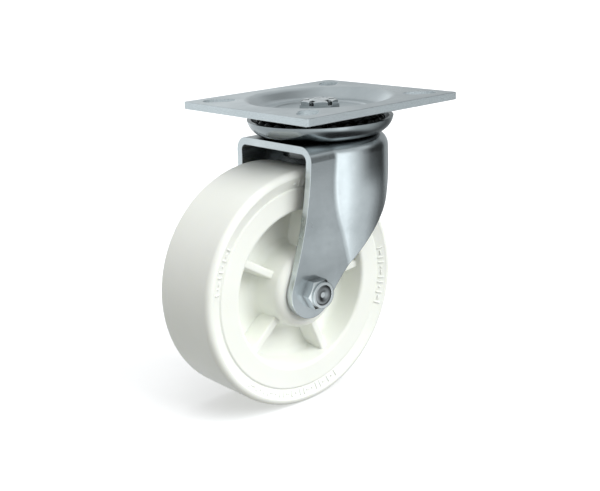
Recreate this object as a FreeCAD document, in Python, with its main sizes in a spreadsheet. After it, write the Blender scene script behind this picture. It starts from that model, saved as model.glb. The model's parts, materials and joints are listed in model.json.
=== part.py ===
import FreeCAD, Part

import math
import os

import Sketcher

Vector = FreeCAD.Vector
Rotation = FreeCAD.Rotation

# A swivel plate caster. The origin is the centre of the top plate's mounting face, on the
# kingpin's axis. +Z is up, the axle lies along Y, and the wheel trails towards -X.
SIZES = {
    # top plate
    "plate_length": 127.0,         # along X
    "plate_width": 120.65,         # along Y
    "plate_thick": 4.76,
    "plate_corner": 1.5,
    "plate_edge_round": 0.4,
    "slot_centre_x": 47.6,
    "slot_centre_y": 43.0,
    "slot_turn": 42.0,             # degrees from X, so that each slot points at its corner
    "slot_width": 12.7,
    "slot_length": 21.0,
    "dish_radius": 46.5,           # where the plate starts to dip
    "floor_radius": 37.6,          # where the dip ends
    "dish_depth": 7.6,
    "dish_bend": 1.44,             # how far the underside's bends lie outside the top's
    "dish_round": 2.4,             # how far from each corner its bend begins
    "floor_ring": 30.0,            # outer radius of the flat seat inside the floor
    "floor_step": 0.9,             # how far that seat lies below the rest of the floor
    # upper row of balls, between plate and cup
    "load_ball": 3.97,
    "load_ring": 38.2,
    "load_drop": 15.43,
    "ball_gap": 0.05,
    "ball_fill": 0.92,             # share of each row's length that balls take up
    # race cup, seated on the fork
    "cup_thick": 2.6,
    "cup_bore": 24.0,
    "cup_centre_in": 3.2,          # its wall's centre lies this far inside the ring of balls
    "cup_centre_up": 4.8,          # and this far above it
    "rim_drop": 12.6,
    # fork, a pressed sheet
    "sheet_thick": 4.76,
    "yoke_spread": 3.04,           # how much further out the legs start than they end
    "yoke_bend_rise": 0.35,        # the share of it that the last bend takes up
    "yoke_bend_height": 16.0,
    "parallel_height": 14.3,       # the legs are parallel up to this far above the axle
    "shoulder_round": 9.0,
    "crease_round": 7.0,
    "bulge_radius": 42.0,          # the crown and the rear skirt
    "bulge_behind": 2.0,           # how far their centre lies behind the kingpin
    "bulge_straight": 42.0,        # depth where the skirt begins to draw in
    "bulge_low_rise": 1.84,        # how far it still stands out where it ends
    "bulge_low_height": 4.3,       # that end's height above the axle
    "crown_hole_gap": 2.1,
    "front_edge": 40.6,            # front cut edge ahead of the kingpin
    "front_straight": 24.0,        # depth where the front edge starts to sweep forward
    "tip_radius": 16.4,
    "tip_ahead": 2.0,              # the tip's centre lies this far ahead of the axle
    "tip_front_turn": 22.0,        # degrees up from level where the front edge joins the tip
    "tip_rear_turn": 35.0,         # degrees down from level where the rear edge leaves it
    "neck_ahead": 15.6,            # the rear edge's first bend, ahead of the kingpin
    "neck_rise": 5.4,              # and above the axle
    "neck_sweep": 117.0,
    "heel_x": 19.5,
    "heel_share": 0.447,           # of the way down from the skirt's foot to the axle
    "heel_sweep": 175.0,
    "skirt_x": 46.0,
    "skirt_drop": 45.0,
    # kingpin and lower row of balls
    "kingpin_radius": 7.14,
    "kingpin_head": 12.0,
    "kingpin_head_thick": 4.0,
    "kingpin_top": 2.4,            # plate face to the pin's upper end
    "kingpin_ease": 0.8,
    "spacer_wall": 2.76,
    "thrust_ball": 3.175,
    "thrust_ring": 19.0,
    "thrust_sink": 1.1,            # how deep the balls sit in each race
    "lower_race_radius": 25.0,
    "lower_race_thick": 4.0,
    "kingpin_nut_flats": 22.2,
    "kingpin_nut_thick": 6.1,
    "kingpin_nut_turn": 23.0,      # degrees
    "nut_slot_width": 3.4,
    "nut_slot_depth": 3.0,
    # wheel
    "overall_height": 190.5,
    "trail": 39.7,
    "wheel_radius": 76.2,
    "wheel_half": 25.4,
    "tread_corner": 4.0,
    "band_width": 4.8,             # tread to the start of the recessed band
    "band_half": 24.9,
    "ring_radius": 64.9,
    "ring_step": 0.8,
    "annulus_half": 23.4,
    "recess_radius": 50.8,
    "recess_round": 2.4,
    "recess_foot": 48.6,
    "web_half": 5.0,
    "web_round": 5.0,
    "boss_foot": 26.0,
    "boss_radius": 24.5,
    "boss_half": 23.7,
    "hub_face": 19.5,
    "hub_round": 5.4,
    "hub_half": 27.7,
    "rib_top": 19.0,
    "rib_tip_half": 2.6,
    "rib_root_half": 3.8,
    "rib_round": 1.2,
    "rib_bury": 3.0,               # how far the ribs run into the boss and the rim
    "rib_turn": 67.5,
    # axle, bushing and roller bearing
    "axle_radius": 6.35,
    "axle_gap": 0.05,
    "hexagon_share": 2.75,         # across flats, in shank radii
    "corner_ease": 0.95,           # a hexagon's corners are eased outside this share of its flats
    "bolt_head_thick": 8.0,
    "nut_thick": 6.6,
    "nut_collar_wall": 0.8,
    "nut_collar_thick": 2.2,
    "insert_wall": 1.25,
    "insert_thick": 1.4,
    "bolt_end_short": 1.0,         # the bolt's end stops this far inside the nut's collar
    "bushing_wall": 3.1,
    "roller_radius": 2.0,
    "roller_gap": 0.03,
    "roller_half": 21.0,
    "sleeve_wall": 1.44,
    "cage_end": 2.0,
    "cage_gap": 0.3,
    "cage_bar_width": 1.2,
    "cage_bar_height": 2.4,
    "cage_ring_height": 3.2,
    "retainer_thick": 2.2,
    "retainer_gap": 0.1,
    "washer_radius": 17.0,
    "washer_thick": 0.8,
    "washer_gap": 0.1,
}
ROLLERS = 12
RIBS = 5
NUT_SLOTS = 3                      # each cut crosses the nut, so three cuts make six slots
NUT_EASE_TURN = 30.0               # degrees between a hexagon's face and its eased corners


class Size:
    """A number together with the spreadsheet expression that gives it."""

    def __init__(self, value, text=None):
        self.value = float(value)
        self.text = text if text is not None else repr(float(value))

    def join(self, other, sign, value):
        return Size(value, "(%s %s %s)" % (self.text, sign, other.text))

    def __add__(self, other):
        other = as_size(other)
        return self.join(other, "+", self.value + other.value)

    def __sub__(self, other):
        other = as_size(other)
        return self.join(other, "-", self.value - other.value)

    def __mul__(self, other):
        other = as_size(other)
        return self.join(other, "*", self.value * other.value)

    def __truediv__(self, other):
        other = as_size(other)
        return self.join(other, "/", self.value / other.value)

    def __neg__(self):
        return Size(-self.value, "(0 - %s)" % self.text)

    def root(self):
        return Size(math.sqrt(self.value), "sqrt(%s)" % self.text)


def as_size(number):
    return number if isinstance(number, Size) else Size(number)


class Table:
    """The spreadsheet's values, each one read as an attribute."""

    def __init__(self, document, values):
        self.sheet = document.addObject("Spreadsheet::Sheet", "Sizes")
        self.values = values
        for row, (name, value) in enumerate(values.items(), start=1):
            self.sheet.set("A%d" % row, name)
            self.sheet.set("B%d" % row, str(value))
            self.sheet.setAlias("B%d" % row, name)

    def __getattr__(self, name):
        return Size(self.values[name], "Sizes." + name)


doc = FreeCAD.newDocument("caster")
size = Table(doc, SIZES)
doc.recompute()
nodes = []


def bind(item, **properties):
    """Tie properties to the spreadsheet; a double underscore stands for a dot."""
    for name, number in properties.items():
        item.setExpression(name.replace("__", "."), as_size(number).text)


def keep(item, name):
    """Make an object one of the caster's sub-parts."""
    item.Label = name
    nodes.append(item)
    return item


def new_body(name):
    body = doc.addObject("PartDesign::Body", name + "_body")
    return body


def plane_of(body, role):
    return next(item for item in body.Origin.OriginFeatures if item.Role == role)


def new_sketch(body, name, role, **offset):
    sketch = body.newObject("Sketcher::SketchObject", name)
    sketch.AttachmentSupport = [(plane_of(body, role), "")]
    sketch.MapMode = "FlatFace"
    bind(sketch, **offset)
    return sketch


def fix_point(sketch, line, end, point):
    """Hold one end of a sketch line at its coordinates."""
    for kind, axis, number in (("DistanceX", -2, point[0]), ("DistanceY", -1, point[1])):
        number = as_size(number)
        if number.value == 0:
            sketch.addConstraint(Sketcher.Constraint("PointOnObject", line, end, axis))
        else:
            made = sketch.addConstraint(Sketcher.Constraint(kind, -1, 1, line, end, number.value))
            sketch.setExpression("Constraints[%d]" % made, number.text)


def arc_between(start, end, radius, side):
    """The shorter arc from start to end; side 1 turns left on the way, -1 turns right."""
    if side < 0:
        start, end = end, start
    chord = end.sub(start)
    left = Vector(-chord.y, chord.x, 0).normalize()
    rise = math.sqrt(max(radius ** 2 - (chord.Length / 2) ** 2, 0.0))
    centre = (start + end) * 0.5 + left * rise
    first = math.atan2(start.y - centre.y, start.x - centre.x)
    sweep = 2 * math.asin(min(chord.Length / 2 / radius, 1.0))
    return Part.ArcOfCircle(Part.Circle(centre, Vector(0, 0, 1), radius), first, first + sweep)


def gentle(rise, run):
    """The radius of an arc that starts straight and leaves its line by rise over a run."""
    return (run * run + rise * rise) / (rise * 2)


def draw(sketch, points):
    """Draw a closed outline. A point is (x, y), or (x, y, radius, side) at the end of an arc."""
    places = [Vector(as_size(p[0]).value, as_size(p[1]).value, 0) for p in points]
    ends = []
    for number in range(len(points)):
        follower = (number + 1) % len(points)
        start, end = places[number], places[follower]
        if len(points[follower]) == 4:
            radius, side = as_size(points[follower][2]), points[follower][3]
            sketch.addGeometry(arc_between(start, end, radius.value, side))
            ends.append((1, 2) if side > 0 else (2, 1))
        else:
            sketch.addGeometry(Part.LineSegment(start, end))
            ends.append((1, 2))
    for number, point in enumerate(points):
        before = number - 1 if number else len(points) - 1
        join = Sketcher.Constraint("Coincident", before, ends[before][1], number, ends[number][0])
        sketch.addConstraint(join)
        fix_point(sketch, number, ends[number][0], point)
    for number in range(len(points)):
        follower = (number + 1) % len(points)
        if len(points[follower]) == 4:
            radius = as_size(points[follower][2])
            made = sketch.addConstraint(Sketcher.Constraint("Radius", number, radius.value))
            sketch.setExpression("Constraints[%d]" % made, radius.text)
    return sketch


def draw_circle(sketch, radius):
    radius = as_size(radius)
    sketch.addGeometry(Part.Circle(Vector(0, 0, 0), Vector(0, 0, 1), radius.value))
    sketch.addConstraint(Sketcher.Constraint("Coincident", 0, 3, -1, 1))
    made = sketch.addConstraint(Sketcher.Constraint("Radius", 0, radius.value))
    sketch.setExpression("Constraints[%d]" % made, radius.text)
    return sketch


def slant(run, rise):
    """The length of a slope from its two legs."""
    return (run * run + rise * rise).root()


def draw_hexagon(sketch, flats):
    """A hexagon about the origin, with two of its corners on the sketch's X axis."""
    half = flats / 2
    corner = flats / math.sqrt(3)
    points = [(corner, 0), (corner / 2, half), (-corner / 2, half),
              (-corner, 0), (-corner / 2, -half), (corner / 2, -half)]
    return draw(sketch, points)


def turned(body, name, points, role="XZ_Plane", cut=False, **offset):
    """Spin an outline about its sketch's vertical axis."""
    sketch = draw(new_sketch(body, name, role, **offset), points)
    kind = "PartDesign::Groove" if cut else "PartDesign::Revolution"
    feature = body.newObject(kind, name + "_turned")
    feature.Profile = sketch
    feature.ReferenceAxis = (sketch, ["V_Axis"])
    feature.Angle = 360.0
    return feature


def ease_corners(body, name, flats, face, inward):
    """Turn a hexagon's corners down to a shallow cone at one of its two faces."""
    start = flats / 2 * size.corner_ease
    clear = flats * 2 / 3
    depth = (clear - start) * math.tan(math.radians(NUT_EASE_TURN)) * inward
    turned(body, name, [(start, face), (clear, face), (clear, as_size(face) + depth)], cut=True)


def padded(body, name, sketch, length, midplane=False, reverse=False, cut=False):
    kind = "PartDesign::Pocket" if cut else "PartDesign::Pad"
    feature = body.newObject(kind, name)
    feature.Profile = sketch
    feature.Midplane = midplane
    feature.Reversed = reverse
    bind(feature, Length=length)
    return feature


def rounded(body, name, feature, choose, radius):
    """Round the edges of a feature that pass the test."""
    doc.recompute()
    names = ["Edge%d" % number for number, edge in enumerate(feature.Shape.Edges, start=1)
             if choose(edge)]
    fillet = body.newObject("PartDesign::Fillet", name)
    fillet.Base = (feature, names)
    bind(fillet, Radius=radius)
    return fillet


def boolean(kind, name, base, tool):
    result = doc.addObject(kind, name)
    result.Base = base
    result.Tool = tool
    return result


def rod(name, radius, length, **place):
    item = doc.addObject("Part::Cylinder", name)
    bind(item, Radius=radius, Height=length, **place)
    return item


def tube(name, outer, inner, length, **place):
    """A plain ring standing on its own origin."""
    skin = rod(name + "_outside", outer, length, **place)
    core = rod(name + "_inside", inner, length, **place)
    return keep(boolean("Part::Cut", name + "_tube", skin, core), name)


AXLE_TURN = Rotation(Vector(1, 0, 0), -90)     # lays a cylinder's axis along +Y
axle_x = -size.trail
axle_z = size.wheel_radius - size.overall_height


def across(item, start):
    """Lay an object along the axle, beginning at a distance from the middle plane."""
    item.Placement = FreeCAD.Placement(Vector(0, 0, 0), AXLE_TURN)
    bind(item, Placement__Base__x=axle_x, Placement__Base__y=start, Placement__Base__z=axle_z)
    return item


def axle_tube(name, outer, inner, start, length):
    skin = across(rod(name + "_outside", outer, length), start)
    core = across(rod(name + "_inside", inner, length), start)
    return keep(boolean("Part::Cut", name + "_tube", skin, core), name)


def torus(name, ring, radius, height):
    item = doc.addObject("Part::Torus", name)
    bind(item, Radius1=ring, Radius2=radius, Placement__Base__z=height)
    return item


def ball_row(name, ball, ring, height):
    """A row of separate balls round the kingpin."""
    count = int(math.pi * ring.value / ball.value * SIZES["ball_fill"])
    balls = []
    for number in range(count):
        item = doc.addObject("Part::Sphere", "%s_%02d" % (name, number))
        angle = "(%r deg)" % (360.0 * number / count)
        bind(item, Radius=ball, Placement__Base__z=height)
        item.setExpression("Placement.Base.x", "%s * cos%s" % (ring.text, angle))
        item.setExpression("Placement.Base.y", "%s * sin%s" % (ring.text, angle))
        balls.append(item)
    row = doc.addObject("Part::Compound", name + "_row")
    row.Links = balls
    return keep(row, name)


# Places that several pieces share.
floor_top = -size.dish_depth
floor_under = floor_top - size.plate_thick
cup_inner = slant(size.cup_centre_in, size.cup_centre_up) + size.load_ball + size.ball_gap
cup_outer = cup_inner + size.cup_thick
cup_centre = size.cup_centre_up - size.load_drop
crown_top = cup_centre - cup_outer
crown_under = crown_top - size.sheet_thick
thrust_z = crown_under - size.thrust_ball + size.thrust_sink
race_top = thrust_z - size.thrust_ball + size.thrust_sink
race_bottom = race_top - size.lower_race_thick
spacer_radius = size.kingpin_radius + size.spacer_wall
leg_inner = size.hub_half + size.washer_gap + size.washer_thick
leg_outer = leg_inner + size.sheet_thick
bushing_radius = size.axle_radius + size.axle_gap + size.bushing_wall
roller_orbit = bushing_radius + size.roller_gap + size.roller_radius
sleeve_bore = roller_orbit + size.roller_radius + size.roller_gap
hub_bore = sleeve_bore + size.sleeve_wall


def make_top_plate():
    """A pressed rectangle with a dished middle, four diagonal slots and a ball groove below."""
    body = new_body("top_plate")
    half_x = size.plate_length / 2
    half_y = size.plate_width / 2
    sketch = new_sketch(body, "plate_outline", "XY_Plane")
    draw(sketch, [(-half_x, -half_y), (half_x, -half_y), (half_x, half_y), (-half_x, half_y)])
    pad = padded(body, "plate_pad", sketch, size.plate_thick, reverse=True)
    corners = rounded(body, "plate_corners", pad,
                      lambda edge: abs(edge.tangentAt(edge.FirstParameter).z) > 0.9,
                      size.plate_corner)
    rounded(body, "plate_edges", corners, lambda edge: edge.BoundBox.ZLength < 0.01,
            size.plate_edge_round)
    run = size.dish_radius - size.floor_radius
    length = slant(run, size.dish_depth)
    along = size.dish_round * run / length
    down = size.dish_round * size.dish_depth / length
    bend = gentle(down, size.dish_round + along)
    under_edge = size.dish_radius + size.dish_bend
    turned(body, "dish_underside", [
        (0, -size.plate_thick / 2),
        (0, floor_under),
        (size.floor_radius + size.dish_bend, floor_under),
        (under_edge - along, -size.plate_thick - down),
        (under_edge + size.dish_round, -size.plate_thick, bend, -1),
        (under_edge + size.dish_round, -size.plate_thick / 2)])
    step = floor_top + size.floor_step
    foot = size.floor_radius + size.floor_step * run / size.dish_depth
    turned(body, "dish_hollow", [
        (0, size.plate_thick),
        (size.dish_radius + size.dish_round, size.plate_thick),
        (size.dish_radius + size.dish_round, 0),
        (size.dish_radius - along, -down, bend, 1),
        (foot + along, step + down),
        (foot - size.dish_round, step, bend, -1),
        (size.floor_ring + size.floor_step, step),
        (size.floor_ring, floor_top),
        (0, floor_top)], cut=True)
    for side_x in (-1, 1):
        for side_y in (-1, 1):
            name = "slot_%s%s" % ("rear" if side_x > 0 else "front", "_far" if side_y > 0 else "_near")
            sketch = new_sketch(body, name, "XY_Plane")
            turn = side_x * side_y * SIZES["slot_turn"]
            sketch.AttachmentOffset = FreeCAD.Placement(Vector(0, 0, 0), Rotation(Vector(0, 0, 1), turn))
            bind(sketch, AttachmentOffset__Base__x=size.slot_centre_x * side_x,
                 AttachmentOffset__Base__y=size.slot_centre_y * side_y)
            half = size.slot_width / 2
            reach = size.slot_length / 2 - half
            draw(sketch, [(-reach, -half, half, 1), (reach, -half), (reach + half, 0, half, 1),
                          (reach, half, half, 1), (-reach, half), (-reach - half, 0, half, 1)])
            padded(body, name + "_cut", sketch, size.plate_thick, cut=True)
    sketch = draw_circle(new_sketch(body, "kingpin_hole", "XY_Plane"), size.kingpin_radius)
    padded(body, "kingpin_hole_cut", sketch, -floor_under, cut=True)
    groove = torus("plate_groove", size.load_ring, size.load_ball + size.ball_gap, -size.load_drop)
    return keep(boolean("Part::Cut", "top_plate_cut", body, groove), "top_plate")


def make_race_cup():
    """A pressed ring whose curved wall holds the upper balls."""
    body = keep(new_body("race_cup"), "race_cup")
    middle = size.load_ring - size.cup_centre_in
    height = cup_centre + size.rim_drop

    def rim(radius):
        """How far out a wall of this radius stands at the rim."""
        return middle + (radius * radius - height * height).root()

    turned(body, "cup_outline", [
        (size.cup_bore, crown_top),
        (middle, crown_top),
        (rim(cup_outer), -size.rim_drop, cup_outer, 1),
        (rim(cup_inner), -size.rim_drop),
        (middle, cup_centre - cup_inner, cup_inner, -1),
        (size.cup_bore, cup_centre - cup_inner)])


def fork_block(name, inset):
    """The fork's outer form, or with an inset of one sheet its inner form."""
    body = new_body(name)
    top = crown_top - inset
    low = leg_outer - inset
    mid = low + size.yoke_bend_rise
    high = low + size.yoke_spread
    parallel = axle_z + size.parallel_height
    bend_top = parallel + size.yoke_bend_height
    bottom = axle_z - size.tip_radius - size.sheet_thick
    bend = gentle(size.yoke_bend_rise, size.yoke_bend_height)
    sketch = new_sketch(body, name + "_section", "YZ_Plane")
    draw(sketch, [(-high, top), (-mid, bend_top), (-low, parallel, bend, -1), (-low, bottom),
                  (low, bottom), (low, parallel), (mid, bend_top, bend, -1), (high, top)])
    padded(body, name + "_prism", sketch, size.wheel_radius + size.trail, reverse=True)
    wide = size.bulge_radius - inset
    narrow = low + size.bulge_low_rise
    straight = -size.bulge_straight
    ends = axle_z + size.bulge_low_height
    curve = gentle((wide - narrow) / 2, (straight - ends) / 2)
    bulge = turned(body, name + "_bulge", [
        (0, top),
        (wide, top),
        (wide, straight),
        ((wide + narrow) / 2, (straight + ends) / 2, curve, -1),
        (narrow, ends, curve, 1),
        (narrow, bottom),
        (0, bottom)], AttachmentOffset__Base__x=size.bulge_behind)
    return body, bulge, top


def is_crease(edge):
    """True on the upright inward corners where the flat sides meet the round bulge."""
    box = edge.BoundBox
    return box.ZLength > 0.5 and box.XMax < -1.0 and box.XMin > -SIZES["front_edge"]


def make_fork():
    """One pressed sheet: a round crown and skirt that run forward into two flat legs."""
    sheet = size.sheet_thick
    blocks = []
    for name, inset in (("fork_outside", as_size(0)), ("fork_inside", sheet)):
        body, bulge, top = fork_block(name, inset)
        eased = rounded(body, name + "_crease", bulge, is_crease, size.crease_round + inset)

        def on_crown(edge, level=top.value):
            box = edge.BoundBox
            flat = abs(box.ZMin - level) < 0.01 and abs(box.ZMax - level) < 0.01
            return flat and box.XMax > -SIZES["wheel_radius"]
        rounded(body, name + "_shoulder", eased, on_crown, size.shoulder_round - inset)
        blocks.append(body)
    shell = boolean("Part::Cut", "fork_shell", blocks[0], blocks[1])
    side = new_body("fork_side")
    sketch = new_sketch(side, "fork_side_outline", "XZ_Plane")
    tip_x = axle_x - size.tip_ahead
    front, rear = math.radians(SIZES["tip_front_turn"]), math.radians(SIZES["tip_rear_turn"])
    join_x = tip_x - size.tip_radius * math.cos(front)
    join_z = axle_z + size.tip_radius * math.sin(front)
    sweep = gentle(-size.front_edge - join_x, -size.front_straight - join_z)
    heel_z = (axle_z + size.skirt_drop) * size.heel_share - size.skirt_drop
    draw(sketch, [
        (-size.front_edge, 0),
        (-size.front_edge, -size.front_straight),
        (join_x, join_z, sweep, -1),
        (tip_x, axle_z - size.tip_radius, size.tip_radius, 1),
        (tip_x + size.tip_radius * math.cos(rear), axle_z - size.tip_radius * math.sin(rear),
         size.tip_radius, 1),
        (-size.neck_ahead, axle_z + size.neck_rise, size.neck_sweep, -1),
        (size.heel_x, heel_z),
        (size.skirt_x, -size.skirt_drop, size.heel_sweep, 1),
        (size.skirt_x, 0)])
    padded(side, "fork_side_pad", sketch, size.plate_width, midplane=True)
    trimmed = boolean("Part::Common", "fork_trimmed", shell, side)
    hole = rod("crown_hole", spacer_radius + size.crown_hole_gap, size.sheet_thick * 3,
               Placement__Base__z=crown_top - size.sheet_thick * 2)
    drilled = boolean("Part::Cut", "fork_drilled", trimmed, hole)
    bore = across(rod("axle_holes", size.axle_radius + size.axle_gap, size.plate_width),
                  -size.plate_width / 2)
    bored = boolean("Part::Cut", "fork_bored", drilled, bore)
    groove = torus("fork_groove", size.thrust_ring, size.thrust_ball + size.ball_gap, thrust_z)
    keep(boolean("Part::Cut", "fork_grooved", bored, groove), "fork")


def make_kingpin():
    """A headed pin, the slotted nut that holds it, and the pieces clamped between them."""
    body = keep(new_body("kingpin"), "kingpin")
    ease, pin, head = size.kingpin_ease, size.kingpin_radius, size.kingpin_head
    base = race_bottom - size.kingpin_head_thick
    turned(body, "kingpin_outline", [
        (0, base),
        (head - ease, base),
        (head, base + ease),
        (head, race_bottom),
        (pin, race_bottom),
        (pin, -size.kingpin_top - ease),
        (pin - ease, -size.kingpin_top),
        (0, -size.kingpin_top)])
    tube("kingpin_spacer", spacer_radius, pin, floor_under - race_top, Placement__Base__z=race_top)

    skin = rod("lower_race_outside", size.lower_race_radius, size.lower_race_thick,
               Placement__Base__z=race_bottom)
    core = rod("lower_race_inside", pin, size.lower_race_thick, Placement__Base__z=race_bottom)
    ring = boolean("Part::Cut", "lower_race_ring", skin, core)
    groove = torus("lower_race_groove", size.thrust_ring, size.thrust_ball + size.ball_gap, thrust_z)
    keep(boolean("Part::Cut", "lower_race_grooved", ring, groove), "lower_race")

    nut = new_body("kingpin_nut")
    sketch = draw_hexagon(new_sketch(nut, "kingpin_nut_hexagon", "XY_Plane"), size.kingpin_nut_flats)
    padded(nut, "kingpin_nut_pad", sketch, size.kingpin_nut_thick)
    ease_corners(nut, "kingpin_nut_ease", size.kingpin_nut_flats, size.kingpin_nut_thick, -1)
    sketch = draw_circle(new_sketch(nut, "kingpin_nut_bore", "XY_Plane"), pin)
    padded(nut, "kingpin_nut_bored", sketch, size.kingpin_nut_thick, reverse=True, cut=True)
    half = size.nut_slot_width / 2
    start = size.kingpin_nut_thick - size.nut_slot_depth
    reach = size.kingpin_nut_flats
    sketch = new_sketch(nut, "kingpin_nut_slot", "YZ_Plane")
    draw(sketch, [(-half, start), (half, start), (half, size.kingpin_nut_thick * 2),
                  (-half, size.kingpin_nut_thick * 2)])
    slot = padded(nut, "kingpin_nut_slotted", sketch, reach * 2, midplane=True, cut=True)
    doc.recompute()
    pattern = nut.newObject("PartDesign::PolarPattern", "kingpin_nut_slots")
    pattern.Originals = [slot]
    pattern.Axis = (plane_of(nut, "Z_Axis"), [""])
    pattern.Angle = 180.0 * (NUT_SLOTS - 1) / NUT_SLOTS
    pattern.Occurrences = NUT_SLOTS
    nut.Tip = pattern
    turn = Rotation(Vector(0, 0, 1), SIZES["kingpin_nut_turn"])
    nut.Placement = FreeCAD.Placement(Vector(0, 0, 0), turn)
    bind(nut, Placement__Base__z=floor_top)
    keep(nut, "kingpin_nut")


def make_wheel():
    """A one-piece moulded wheel: plain tread, recessed ribbed sides and a long hub."""
    body = keep(new_body("wheel"), "wheel")
    edge, ease = size.tread_corner, size.recess_round

    def half(side):
        """One side's outline from the tread to the bore, mirrored by the sign."""
        turn = -side
        return [
            (size.wheel_radius, (size.wheel_half - edge) * side),
            (size.wheel_radius - edge, size.wheel_half * side, edge, side),
            (size.wheel_radius - size.band_width, size.band_half * side),
            (size.ring_radius + size.ring_step, (size.annulus_half - size.ring_step) * side),
            (size.ring_radius, size.annulus_half * side),
            (size.recess_radius + ease, size.annulus_half * side),
            (size.recess_radius, (size.annulus_half - ease) * side, ease, side),
            (size.recess_foot, (size.web_half + size.web_round) * side),
            (size.recess_foot - size.web_round, size.web_half * side, size.web_round, turn),
            (size.boss_foot + size.web_round, size.web_half * side),
            (size.boss_foot, (size.web_half + size.web_round) * side, size.web_round, turn),
            (size.boss_radius, size.boss_half * side),
            (size.hub_face, size.hub_half * side, size.hub_round, side),
            (hub_bore, size.hub_half * side)]

    far = half(1)
    near = half(-1)
    points = [point[:2] if not number else point for number, point in enumerate(far)]
    back = []
    for number in range(len(near) - 1, -1, -1):
        place = near[number][:2]
        if number + 1 < len(near) and len(near[number + 1]) == 4:
            back.append(place + (near[number + 1][2], -near[number + 1][3]))
        else:
            back.append(place)
    turned(body, "wheel_outline", points + back, role="XY_Plane")
    sketch = new_sketch(body, "rib_section", "YZ_Plane",
                        AttachmentOffset__Base__z=size.boss_radius - size.rib_bury)
    top, tip, root, ease = size.rib_top, size.rib_tip_half, size.rib_root_half, size.rib_round
    draw(sketch, [(top, ease - tip, ease, 1), (top, tip - ease), (top - ease, tip, ease, 1),
                  (0, root), (ease - top, tip), (-top, tip - ease, ease, 1),
                  (-top, ease - tip), (ease - top, -tip, ease, 1), (0, -root), (top - ease, -tip)])
    reach = size.recess_radius - size.boss_radius + size.rib_bury * 2
    rib = padded(body, "rib", sketch, reach)
    doc.recompute()
    pattern = body.newObject("PartDesign::PolarPattern", "ribs")
    pattern.Originals = [rib]
    pattern.Axis = (plane_of(body, "Y_Axis"), [""])
    pattern.Angle = 360.0
    pattern.Occurrences = RIBS
    body.Tip = pattern
    body.Placement = FreeCAD.Placement(Vector(0, 0, 0), Rotation(Vector(0, 1, 0), SIZES["rib_turn"]))
    bind(body, Placement__Base__x=axle_x, Placement__Base__z=axle_z)


def hexagon_on_axle(name, flats, thick, start, outer_face):
    """A hexagon about the axle, with the corners of its outer face eased."""
    body = new_body(name)
    sketch = draw_hexagon(new_sketch(body, name + "_hexagon", "XY_Plane"), flats)
    padded(body, name + "_pad", sketch, thick)
    ease_corners(body, name + "_ease", flats, outer_face, 1 if outer_face == 0 else -1)
    return across(body, start)


def make_axle():
    """The axle bolt with its lock nut and insert, the bushing it clamps and two washers."""
    outer = leg_outer
    flats = size.axle_radius * size.hexagon_share
    collar_end = outer + size.nut_thick + size.nut_collar_thick
    tail = collar_end - size.bolt_end_short
    shank = across(rod("axle_shank", size.axle_radius, outer + tail), -tail)
    head = hexagon_on_axle("axle_head", flats, size.bolt_head_thick, outer, size.bolt_head_thick)
    keep(boolean("Part::Fuse", "axle_bolt_fused", shank, head), "axle_bolt")

    hexagon = hexagon_on_axle("axle_nut_hex", flats, size.nut_thick, -outer - size.nut_thick, 0)
    insert = size.axle_radius + size.insert_wall
    collar = across(rod("axle_nut_collar", insert + size.nut_collar_wall, size.nut_collar_thick),
                    -collar_end)
    nut = boolean("Part::Fuse", "axle_nut_fused", hexagon, collar)
    bore = across(rod("axle_nut_bore", size.axle_radius, size.nut_thick + size.nut_collar_thick),
                  -collar_end)
    threaded = boolean("Part::Cut", "axle_nut_bored", nut, bore)
    insert_start = -collar_end + size.nut_collar_thick - size.insert_thick
    seat = across(rod("axle_nut_seat", insert, size.insert_thick), insert_start)
    keep(boolean("Part::Cut", "axle_nut_seated", threaded, seat), "axle_nut")
    axle_tube("axle_nut_insert", insert, size.axle_radius, insert_start, size.insert_thick)

    axle_tube("spanner_bushing", bushing_radius, size.axle_radius + size.axle_gap,
              -leg_inner, leg_inner * 2)
    for name, start in (("near", -leg_inner), ("far", leg_inner - size.washer_thick)):
        axle_tube("thrust_washer_" + name, size.washer_radius, bushing_radius, start,
                  size.washer_thick)


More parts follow.
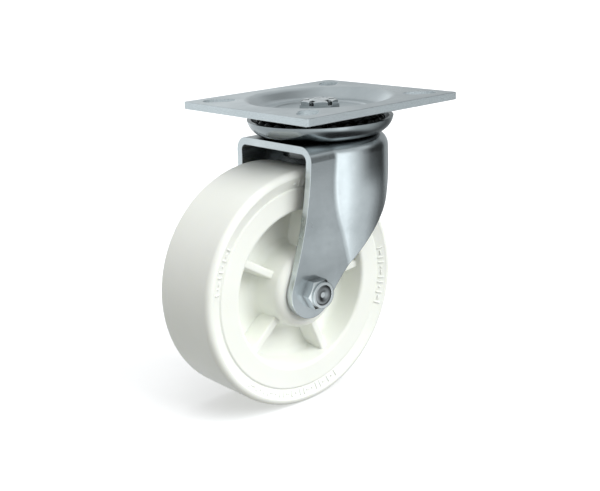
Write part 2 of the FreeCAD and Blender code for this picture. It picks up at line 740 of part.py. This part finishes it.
def make_bearing():
    """The hub's roller bearing: sleeve, rollers, cage and two end retainers."""
    sleeve_half = size.roller_half + size.cage_end + size.cage_gap * 2
    axle_tube("hub_sleeve", hub_bore, sleeve_bore, -sleeve_half, sleeve_half * 2)
    retainer_bore = bushing_radius + size.retainer_gap
    thick = size.retainer_thick
    for name, start in (("near", -sleeve_half - thick), ("far", sleeve_half)):
        axle_tube("bearing_retainer_" + name, hub_bore, retainer_bore, start, thick)

    rollers, bars = [], []
    length = size.roller_half * 2
    for number in range(ROLLERS):
        pitch = 360.0 / ROLLERS
        roller = across(rod("roller_%02d" % number, size.roller_radius, length), -size.roller_half)
        spread = "%s * %%s(%r deg)" % (roller_orbit.text, pitch * number)
        roller.setExpression("Placement.Base.x", "%s + %s" % (axle_x.text, spread % "cos"))
        roller.setExpression("Placement.Base.z", "%s + %s" % (axle_z.text, spread % "sin"))
        rollers.append(roller)
        bar = doc.addObject("Part::Box", "cage_bar_%02d" % number)
        bind(bar, Length=size.cage_bar_height, Width=length + size.cage_gap * 2,
             Height=size.cage_bar_width)
        turn = pitch * (number + 0.5)
        bar.Placement = FreeCAD.Placement(Vector(0, 0, 0), Rotation(Vector(0, 1, 0), -turn))
        reach = "(%s - %s / 2)" % (roller_orbit.text, size.cage_bar_height.text)
        drop = "(%s / 2)" % size.cage_bar_width.text
        cosine, sine = "cos(%r deg)" % turn, "sin(%r deg)" % turn
        bar.setExpression("Placement.Base.x", "%s + %s * %s + %s * %s" % (
            axle_x.text, reach, cosine, drop, sine))
        bar.setExpression("Placement.Base.z", "%s + %s * %s - %s * %s" % (
            axle_z.text, reach, sine, drop, cosine))
        bind(bar, Placement__Base__y=-size.roller_half - size.cage_gap)
        bars.append(bar)
    row = doc.addObject("Part::Compound", "roller_row")
    row.Links = rollers
    keep(row, "rollers")
    ring_half = size.cage_ring_height / 2
    for name, start in (("near", -size.roller_half - size.cage_gap - size.cage_end),
                        ("far", size.roller_half + size.cage_gap)):
        skin = across(rod("cage_ring_%s_outside" % name, roller_orbit + ring_half, size.cage_end), start)
        core = across(rod("cage_ring_%s_inside" % name, roller_orbit - ring_half, size.cage_end), start)
        bars.append(boolean("Part::Cut", "cage_ring_%s" % name, skin, core))
    cage = doc.addObject("Part::MultiFuse", "roller_cage_fused")
    cage.Shapes = bars
    keep(cage, "roller_cage")


make_top_plate()
make_race_cup()
make_fork()
make_kingpin()
ball_row("load_balls", size.load_ball, size.load_ring, -size.load_drop)
ball_row("thrust_balls", size.thrust_ball, size.thrust_ring, thrust_z)
make_wheel()
make_axle()
make_bearing()
doc.recompute()

failed = [item.Name for item in doc.Objects if "Invalid" in item.State or "Error" in item.State]
if failed:
    raise RuntimeError("these did not build: " + ", ".join(failed))
for item in nodes:
    if item.Shape.isNull() or not item.Shape.isValid():
        raise RuntimeError("%s has no valid shape" % item.Label)

os.makedirs("parts", exist_ok=True)
for item in nodes:
    item.Shape.exportStep(os.path.join("parts", item.Label + ".step"))
    print("%-26s %2d solid(s) %12.1f mm3" % (item.Label, len(item.Shape.Solids), item.Shape.Volume))
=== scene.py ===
import json
import math

import bmesh
import bpy
from mathutils import Matrix, Vector


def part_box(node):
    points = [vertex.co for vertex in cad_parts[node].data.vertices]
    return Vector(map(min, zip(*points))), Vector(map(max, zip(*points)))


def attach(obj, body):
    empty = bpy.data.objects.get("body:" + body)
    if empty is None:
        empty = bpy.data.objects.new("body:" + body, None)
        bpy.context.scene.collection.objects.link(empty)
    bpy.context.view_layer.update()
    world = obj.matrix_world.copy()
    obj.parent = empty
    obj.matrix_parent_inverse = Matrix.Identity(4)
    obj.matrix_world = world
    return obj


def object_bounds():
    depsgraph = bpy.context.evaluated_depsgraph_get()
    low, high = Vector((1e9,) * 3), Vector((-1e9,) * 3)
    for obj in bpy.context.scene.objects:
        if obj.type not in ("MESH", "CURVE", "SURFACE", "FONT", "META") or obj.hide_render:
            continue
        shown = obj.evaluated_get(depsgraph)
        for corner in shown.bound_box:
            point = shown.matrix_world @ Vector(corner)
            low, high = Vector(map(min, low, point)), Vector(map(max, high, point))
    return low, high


# ---------------------------------------------------------------- the caster as packed
# The steel and nylon parts come from the frame at their real size. The kingpin stands on the
# origin's Z line and the axle's line is read from its joint.
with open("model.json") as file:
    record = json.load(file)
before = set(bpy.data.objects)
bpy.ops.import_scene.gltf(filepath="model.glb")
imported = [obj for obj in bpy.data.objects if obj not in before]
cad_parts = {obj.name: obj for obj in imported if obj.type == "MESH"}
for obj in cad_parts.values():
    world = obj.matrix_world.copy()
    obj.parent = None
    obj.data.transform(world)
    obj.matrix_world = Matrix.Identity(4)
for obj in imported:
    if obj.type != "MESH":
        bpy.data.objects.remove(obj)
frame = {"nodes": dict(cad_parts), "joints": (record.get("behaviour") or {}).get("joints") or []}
cad_low, cad_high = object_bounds()
nodes = frame["nodes"]
joints = {joint["name"]: joint for joint in frame["joints"]}
axle = Vector(joints["wheel_spin"]["pos_m"])
bpy.ops.object.select_all(action="DESELECT")


# ---------------------------------------------------------------- top plate
# Sheared from hot-rolled strip, pressed into a shallow dish round the kingpin, pierced with
# four slots and zinc plated. The plating is a satin grey, clouded, with fine rolling lines.
class Shader:
    """A material's node tree, with short ways to add a node and to join two."""

    def __init__(self, name):
        self.material = bpy.data.materials.new(name)
        self.material.use_nodes = True
        self.tree = self.material.node_tree
        self.tree.nodes.clear()
        self.output = self.tree.nodes.new("ShaderNodeOutputMaterial")
        self.place = self.add("TexCoord").outputs["Object"]

    def add(self, kind, **settings):
        node = self.tree.nodes.new("ShaderNode" + kind)
        for name, value in settings.items():
            setattr(node, name, value)
        return node

    def feed(self, node, **inputs):
        """Set or link a node's inputs; an underscore stands for a space."""
        for name, value in inputs.items():
            socket = node.inputs[name.replace("_", " ")]
            if isinstance(value, bpy.types.NodeSocket):
                self.tree.links.new(value, socket)
            else:
                socket.default_value = value
        return node

    def noise(self, scale, detail=3.0, roughness=0.5, stretch=None):
        place = self.place
        if stretch:
            mapping = self.feed(self.add("Mapping"), Vector=place, Scale=stretch)
            place = mapping.outputs["Vector"]
        node = self.feed(self.add("TexNoise"), Vector=place, Scale=scale, Detail=detail,
                         Roughness=roughness)
        return node.outputs["Fac"]

    def ramp(self, value, low, high, start=0.3, end=0.7):
        """Stretch a value's range from start to end over low to high."""
        node = self.feed(self.add("MapRange"), Value=value, From_Min=start, From_Max=end,
                         To_Min=low, To_Max=high)
        return node.outputs["Result"]

    def blend(self, factor, first, second):
        node = self.add("Mix", data_type="RGBA")
        self.tree.links.new(factor, node.inputs["Factor"])
        for side, colour in (("A", first), ("B", second)):
            socket = next(s for s in node.inputs if s.name == side and s.type == "RGBA")
            if isinstance(colour, bpy.types.NodeSocket):
                self.tree.links.new(colour, socket)
            else:
                socket.default_value = (*colour, 1.0)
        return next(s for s in node.outputs if s.type == "RGBA")

    def bump(self, height, normal, strength, distance):
        node = self.feed(self.add("Bump"), Height=height, Normal=normal, Strength=strength,
                         Distance=distance)
        return node.outputs["Normal"]

    def rounded(self, radius):
        """The surface's normal as if its sharp edges had this radius, and how worn they are."""
        node = self.feed(self.add("Bevel", samples=6), Radius=radius)
        turn = self.add("VectorMath", operation="DOT_PRODUCT")
        self.tree.links.new(node.outputs["Normal"], turn.inputs[0])
        self.tree.links.new(self.add("NewGeometry").outputs["Normal"], turn.inputs[1])
        return node.outputs["Normal"], self.ramp(turn.outputs["Value"], 1.0, 0.0, 0.75, 0.98)

    def hollow(self, reach):
        """How far a point lies open to the room: 0 deep in a gap, 1 out on a face."""
        node = self.feed(self.add("AmbientOcclusion", samples=6), Distance=reach)
        return self.ramp(node.outputs["AO"], 0.0, 1.0, 0.15, 0.75)

    def finish(self, surface):
        self.tree.links.new(surface.outputs["BSDF"], self.output.inputs["Surface"])
        return self.material


def zinc(name, dark, light, gloss, lines, edge=0.0005, relief=1.0, gap=0.03, shears=0.0):
    """Zinc plate on steel: clouds, fine lines of the sheet, spots and edges worn bright.

    Painted shade darkens it deep in gaps of the given size; broken and rough on upright sheared
    edges."""
    shader = Shader(name)
    cloud = shader.noise(26.0, 4.0, 0.6)
    spots = shader.noise(900.0, 2.0, 0.6)
    line = shader.noise(420.0, 3.0, 0.6, stretch=lines)
    normal, worn = shader.rounded(edge)
    tone = shader.blend(shader.ramp(cloud, 0.0, 1.0), dark, light)
    fleck = shader.blend(shader.ramp(spots, 0.0, 0.35, 0.55, 0.8), tone, light)
    bright = tuple(min(channel * 1.15, 1.0) for channel in light)
    painted_shade = tuple(channel * 0.30 for channel in dark)
    # Deep in gaps the colour falls to a third of the dark tone: a painted shade.
    colour = shader.blend(shader.hollow(gap), painted_shade, shader.blend(worn, fleck, bright))
    facing = shader.feed(shader.add("SeparateXYZ"),
                         Vector=shader.add("NewGeometry").outputs["Normal"])
    flat = shader.add("Math", operation="ABSOLUTE")
    shader.tree.links.new(facing.outputs["Z"], flat.inputs[0])
    sheared = shader.ramp(flat.outputs["Value"], shears, 0.0, 0.2, 0.5)
    broken = shader.noise(2600.0, 3.0, 0.6, stretch=(1.0, 1.0, 0.5))
    torn = shader.blend(shader.ramp(broken, 0.25, 1.0, 0.35, 0.60), dark, bright)
    colour = shader.blend(sheared, colour, torn)
    normal = shader.bump(line, normal, 0.06 * relief, 0.0003)
    normal = shader.bump(spots, normal, 0.05 * relief, 0.0002)
    sheared_roughness = 0.35
    rough = shader.add("Math", operation="MULTIPLY_ADD")
    shader.tree.links.new(sheared, rough.inputs[0])
    rough.inputs[1].default_value = sheared_roughness
    shader.tree.links.new(shader.ramp(cloud, gloss + 0.05, gloss - 0.04), rough.inputs[2])
    steel = shader.feed(shader.add("BsdfPrincipled"), Metallic=1.0, Base_Color=colour,
                        Roughness=rough.outputs["Value"], Normal=normal)
    return shader.finish(steel)


def coat(material, *names):
    """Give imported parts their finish."""
    for name in names:
        nodes[name].data.materials.clear()
        nodes[name].data.materials.append(material)


coat(zinc("plate_plating", (0.52, 0.56, 0.575), (0.66, 0.70, 0.715), 0.30, (0.04, 1.0, 1.0),
          gap=0.006, shears=1.0), "top_plate")

# ---------------------------------------------------------------- race cup and its balls
# A thinner pressing, drawn into a ring and seated on the fork's crown. Its curved wall is
# burnished by the tool, so it is smoother than the plate; its colour is painted darker, a
# painted shade for the shade it sits in between plate and fork. The balls are coloured near
# black, a painted shade for the dark gap.
coat(zinc("cup_plating", (0.30, 0.33, 0.34), (0.40, 0.43, 0.445), 0.20, (1.0, 1.0, 0.05),
          relief=0.5), "race_cup")
# Near-black balls: a painted shade for the dark gap between plate and cup.
ball_steel = zinc("ball_steel", (0.05, 0.05, 0.05), (0.12, 0.12, 0.12), 0.22, (1.0, 1.0, 1.0),
                  relief=0.2)
coat(ball_steel, "load_balls", "thrust_balls")

# ---------------------------------------------------------------- fork
# One blank of heavy sheet, drawn round about the kingpin and pressed flat down both legs, then
# trimmed. The draw leaves upright scuffs on the round part and a mottled plating.
coat(zinc("fork_plating", (0.52, 0.56, 0.575), (0.66, 0.70, 0.715), 0.23, (1.0, 1.0, 0.06),
          edge=0.0006, relief=1.2), "fork")

# ---------------------------------------------------------------- kingpin, nuts and axle bolt
# Cold-headed and turned steel with a bright zinc finish, smoother than the pressings.
bright_zinc = zinc("bright_zinc", (0.60, 0.64, 0.65), (0.80, 0.83, 0.84), 0.13, (1.0, 1.0, 1.0),
                   edge=0.0006, relief=0.6)
coat(bright_zinc, "kingpin", "kingpin_nut", "kingpin_spacer", "axle_bolt", "axle_nut")

# ---------------------------------------------------------------- races, bushing and bearing
# Hardened steel, ground and oiled: darker than the plated parts and mostly hidden.
ground_steel = zinc("ground_steel", (0.36, 0.37, 0.375), (0.50, 0.51, 0.515), 0.18,
                    (1.0, 0.05, 1.0), relief=0.5)
coat(ground_steel, "lower_race", "spanner_bushing", "thrust_washer_near", "thrust_washer_far",
     "hub_sleeve", "bearing_retainer_near", "bearing_retainer_far", "rollers", "roller_cage")


# ---------------------------------------------------------------- wheel
# One injection moulding in natural nylon: ivory white, slightly translucent and satin, with
# faint flow clouds, the mould's fine texture and rounded edges.
def nylon(name, cool, warm):
    shader = Shader(name)
    cloud = shader.noise(18.0, 3.0, 0.55)
    grain = shader.noise(1300.0, 2.0, 0.5)
    wave = shader.noise(70.0, 2.0, 0.5)
    normal, worn = shader.rounded(0.0010)
    colour = shader.blend(shader.ramp(cloud, 0.0, 1.0), cool, warm)
    normal = shader.bump(wave, normal, 0.05, 0.0010)
    normal = shader.bump(grain, normal, 0.06, 0.0002)
    plastic = shader.feed(shader.add("BsdfPrincipled"), Base_Color=colour, Normal=normal,
                          Roughness=shader.ramp(wave, 0.36, 0.46), IOR=1.53,
                          Subsurface_Weight=0.2, Subsurface_Radius=(1.0, 0.95, 0.75),
                          Subsurface_Scale=0.002)
    return shader.finish(plastic)


ivory = nylon("ivory_nylon", (0.865, 0.885, 0.825), (0.905, 0.92, 0.87))
coat(ivory, "wheel", "axle_nut_insert")

# ---------------------------------------------------------------- wheel marks
# Generic raised bars, dashes and pips stand on the sloping band inside the tread, in four
# arcs on each side. They belong to the wheel's own moulding and share its nylon.
band_inner, band_outer = (0.0657, 0.0226), (0.0714, 0.0249)   # radius, distance from mid-plane
slope = math.atan2(band_outer[1] - band_inner[1], band_outer[0] - band_inner[0])
band_radius = (band_inner[0] + band_outer[0]) / 2
band_rise = (band_inner[1] + band_outer[1]) / 2
mark_height = 0.0011
mark_spacing = 2.9                                            # degrees round the wheel
marks = {"bar": (0.0045, 0.0011), "dash": (0.0012, 0.0030), "pip": (0.0014, 0.0014)}
series = ("bar", "dash", "bar", "pip", "bar", "bar", "dash", "pip", "bar")
arcs = ((76.0, 96.0), (146.0, 172.0), (226.0, 292.0), (338.0, 372.0))
made = []
for side in (-1.0, 1.0):
    for first, last in arcs:
        for step in range(int((last - first) / mark_spacing) + 1):
            angle = math.radians(first + step * mark_spacing)
            outward = Vector((math.cos(angle), 0.0, math.sin(angle)))
            sideways = Vector((0.0, side, 0.0))
            along = outward * math.cos(slope) + sideways * math.sin(slope)
            proud = sideways * math.cos(slope) - outward * math.sin(slope)
            seat = Matrix((along, proud.cross(along), proud)).transposed().to_4x4()
            place = axle + outward * band_radius + sideways * band_rise
            long, wide = marks[series[step % len(series)]]
            bpy.ops.mesh.primitive_cube_add(size=1.0)
            mark = bpy.context.object
            mark.matrix_world = (Matrix.Translation(place) @ seat
                                 @ Matrix.Diagonal((long, wide, mark_height, 1.0)))
            made.append(mark)
for mark in made:
    mark.select_set(True)
wheel_marks = made[0]
bpy.context.view_layer.objects.active = wheel_marks
bpy.ops.object.join()
bpy.ops.object.transform_apply(location=True, rotation=True, scale=True)
wheel_marks.name = "wheel_marks"


def ease(piece, width, segments, smooth_below):
    """Round a piece's edges, and shade it smooth across bends under this many degrees."""
    rounding = piece.modifiers.new("ease", "BEVEL")
    rounding.width = width
    rounding.segments = segments
    bpy.ops.object.modifier_apply(modifier=rounding.name)
    bpy.ops.object.shade_smooth_by_angle(angle=math.radians(smooth_below))


ease(wheel_marks, 0.00035, 3, 40.0)
wheel_marks.data.materials.append(ivory)
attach(wheel_marks, "wheel_set")
bpy.ops.object.select_all(action="DESELECT")


# ---------------------------------------------------------------- axle bolt's end
# The bolt stops just inside the nut's collar. Its end is cut steel, chamfered round the rim and
# dished in the middle by the lathe's centre.
def shank_end(name, radius, place, turned, outward, steps):
    """A disc whose outer face is inset again and again, raised or sunk at each step."""
    thickness = 0.0010
    bpy.ops.mesh.primitive_cylinder_add(vertices=64, radius=radius, depth=thickness,
                                        location=place, rotation=turned)
    piece = bpy.context.object
    piece.name = name
    bpy.ops.object.transform_apply(location=True, rotation=True, scale=True)
    bpy.ops.object.mode_set(mode="EDIT")
    form = bmesh.from_edit_mesh(piece.data)
    for face in form.faces:
        face.select_set(face.normal.dot(outward) > 0.9)
    bmesh.update_edit_mesh(piece.data)
    for margin, depth in steps:
        bpy.ops.mesh.inset(thickness=margin, depth=depth)
    bpy.ops.object.mode_set(mode="OBJECT")
    return piece


bolt_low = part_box("axle_bolt")[0]
bolt_end = shank_end("axle_bolt_end", 0.0061, (axle.x, bolt_low.y - 0.0001, axle.z),
                     (math.pi / 2, 0.0, 0.0), Vector((0.0, -1.0, 0.0)),
                     ((0.0011, 0.00025), (0.0014, 0.0), (0.0012, -0.0006), (0.0011, -0.0004)))
ease(bolt_end, 0.00012, 2, 35.0)
# Its colour is darker than the plated bolt: cut steel, and partly a painted shade for its recess
# inside the collar.
shaded_cut_steel = zinc("shaded_cut_steel", (0.20, 0.21, 0.215), (0.42, 0.44, 0.45), 0.30, (1.0, 0.3, 1.0),
                 relief=2.0)
bolt_end.data.materials.append(shaded_cut_steel)
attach(bolt_end, "swivel_fork")
bpy.ops.object.select_all(action="DESELECT")

# ---------------------------------------------------------------- kingpin's end
# The pin is headed over lightly inside the slotted nut, which leaves a low dome with a
# rounded rim and a dimple from the riveting tool.
pin_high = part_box("kingpin")[1]
pin_end = shank_end("kingpin_end", 0.0066, (0.0, 0.0, pin_high.z + 0.0004), (0.0, 0.0, 0.0),
                    Vector((0.0, 0.0, 1.0)),
                    ((0.0012, 0.0003), (0.0016, 0.0002), (0.0010, -0.0004)))
ease(pin_end, 0.0002, 2, 50.0)
pin_end.data.materials.append(bright_zinc)
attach(pin_end, "mounting")
bpy.ops.object.select_all(action="DESELECT")

# ---------------------------------------------------------------- floor and backdrop
# A sheet of white paper, wide enough that its far edge is lost in the white beyond it.
clearance = 0.0002
bpy.ops.mesh.primitive_plane_add(size=30.0, location=(0.0, 0.0, cad_low.z - clearance))
floor = bpy.context.object
floor.name = "floor"
bpy.ops.object.transform_apply(location=True, rotation=True, scale=True)
floor.visible_glossy = False
floor.visible_diffuse = False
paper = Shader("white_paper")
fibres = paper.noise(60.0, 4.0, 0.6)
sheet = paper.feed(paper.add("BsdfPrincipled"), Roughness=0.9,
                   Base_Color=paper.blend(fibres, (0.81, 0.82, 0.83), (0.83, 0.84, 0.85)),
                   Emission_Color=(1.0, 1.0, 1.0, 1.0), Emission_Strength=0.24)
floor.data.materials.append(paper.finish(sheet))

# ---------------------------------------------------------------- camera
# It stands ahead of the wheel on its near side and looks a little down on the plate.
bearing, height, roll = math.radians(-40.29), math.radians(16.35), math.radians(-2.53)
aim = Vector((-0.0216, 0.0, -0.0945))
away = 0.6537
level = Vector((math.cos(bearing), math.sin(bearing), 0.0))
back = Vector((math.sin(bearing) * math.cos(height), -math.cos(bearing) * math.cos(height),
               math.sin(height)))
upright = back.cross(level)
right = level * math.cos(roll) + upright * math.sin(roll)
up = upright * math.cos(roll) - level * math.sin(roll)
lens = bpy.data.cameras.new("camera")
lens.lens = 60.05
lens.clip_start = 0.01
camera = bpy.data.objects.new("camera", lens)
bpy.context.scene.collection.objects.link(camera)
camera.matrix_world = (Matrix.Translation(aim + back * away)
                       @ Matrix((right, up, back)).transposed().to_4x4())
bpy.context.scene.camera = camera

# ---------------------------------------------------------------- light
# A broad key lamp ahead of the nut and a little to its right, a soft lamp overhead and a pale
# room. What the steel mirrors is a painted studio: a white screen ahead of the nut, a black
# flag to its right, pale walls, a ground and a pit below them, and a grey ceiling.
def sun(name, turn, tilt, power, softness, tint):
    """A far lamp at this turn from straight ahead of the nut and this tilt, in degrees.

    The steel doesn't mirror it."""
    turn, tilt = math.radians(turn), math.radians(tilt)
    lamp = bpy.data.lights.new(name, "SUN")
    lamp.energy = power
    lamp.angle = math.radians(softness)
    lamp.color = tint
    far = Vector((math.sin(turn) * math.cos(tilt), -math.cos(turn) * math.cos(tilt),
                  math.sin(tilt)))
    holder = bpy.data.objects.new(name, lamp)
    bpy.context.scene.collection.objects.link(holder)
    holder.rotation_euler = far.to_track_quat("Z", "Y").to_euler()
    holder.visible_glossy = False


sun("key", 25.0, 35.0, 2.55, 50.0, (0.97, 0.99, 1.0))
sun("overhead", -30.0, 82.0, 0.90, 40.0, (1.0, 1.0, 1.0))

world = bpy.data.worlds.new("studio")
bpy.context.scene.world = world
world.use_nodes = True
tree = world.node_tree
tree.nodes.clear()


def part(kind, **inputs):
    """A node of the room's shader; inputs are given by place, as _0 and _1, or by name."""
    node = tree.nodes.new("ShaderNode" + kind)
    for name, value in inputs.items():
        if name == "operation":
            node.operation = value
            continue
        socket = node.inputs[int(name[1:]) if name[1:].isdigit() else name.replace("_", " ")]
        if isinstance(value, bpy.types.NodeSocket):
            tree.links.new(value, socket)
        else:
            socket.default_value = value
    return node


def painted(turn, *stops):
    """A ring of greys about the caster: each stop is a turn in degrees and its brightness."""
    ramp = part("ValToRGB", Fac=turn)
    ramp.color_ramp.interpolation = "EASE"
    marks = ramp.color_ramp.elements
    while len(marks) < len(stops):
        marks.new(0.5)
    for mark, (place, grey) in zip(marks, stops):
        mark.position = place / 360.0 + 0.5
        mark.color = (0.93 * grey, 0.98 * grey, grey, 1.0)
    return ramp.outputs["Color"]


def between(factor, first, second):
    node = part("MixRGB", _0=factor, _1=first, _2=second)
    return node.outputs["Color"]


heading = part("SeparateXYZ", _0=part("TexCoord").outputs["Generated"])
ahead = part("Math", operation="MULTIPLY", _0=heading.outputs["Y"], _1=-1.0)
bearing_angle = part("Math", operation="ARCTAN2", _0=heading.outputs["X"],
                     _1=ahead.outputs["Value"])
turns = part("Math", operation="MULTIPLY_ADD", _0=bearing_angle.outputs["Value"],
             _1=0.5 / math.pi, _2=0.5)
turn = turns.outputs["Value"]
walls = painted(turn, (-180.0, 1.05), (-120.0, 1.10), (-90.0, 0.85), (-45.0, 0.95),
                (-20.0, 1.45), (-4.0, 1.70), (8.0, 1.25), (23.0, 0.66), (37.0, 0.24),
                (50.0, 0.03), (86.0, 0.02), (99.0, 0.45), (130.0, 0.52), (137.0, 0.64),
                (144.0, 0.86), (154.0, 1.15))
ground = painted(turn, (-180.0, 0.90), (-90.0, 0.80), (-22.0, 1.30), (0.0, 1.60),
                 (13.0, 1.05), (28.0, 0.84), (44.0, 0.80), (60.0, 0.58), (74.0, 0.36),
                 (90.0, 0.14), (112.0, 0.20), (135.0, 0.60), (180.0, 0.90))
pit = painted(turn, (-180.0, 0.45), (-62.0, 0.60), (-46.0, 0.20), (-30.0, 0.03), (95.0, 0.03),
              (130.0, 0.20), (180.0, 0.45))
ceiling = painted(turn, (-180.0, 0.72), (48.0, 0.70), (66.0, 0.26), (92.0, 0.30), (106.0, 0.62),
                  (180.0, 0.72))


def above(lower, upper):
    """How far the heading has risen between two heights, from 0 to 1."""
    rise = part("MapRange", Value=heading.outputs["Z"], From_Min=lower, From_Max=upper)
    return rise.outputs["Result"]


mirrored = between(above(-0.80, -0.66), pit, ground)
mirrored = between(above(-0.32, -0.23), mirrored, walls)
mirrored = between(above(0.22, 0.45), mirrored, ceiling)
path = part("LightPath")
plain = between(above(-0.7, 0.0), (0.60, 0.60, 0.59, 1.0), (0.26, 0.26, 0.25, 1.0))
plain = between(above(0.0, 1.0), plain, (0.92, 0.92, 0.92, 1.0))
room = between(path.outputs["Is Glossy Ray"], plain, mirrored)
room = between(path.outputs["Is Camera Ray"], room, (1.0, 1.0, 1.0, 1.0))
glow = part("Background", Color=room)
part("OutputWorld", Surface=glow.outputs["Background"])
world.cycles.sampling_method = "NONE"
bpy.context.scene.view_settings.view_transform = "Standard"
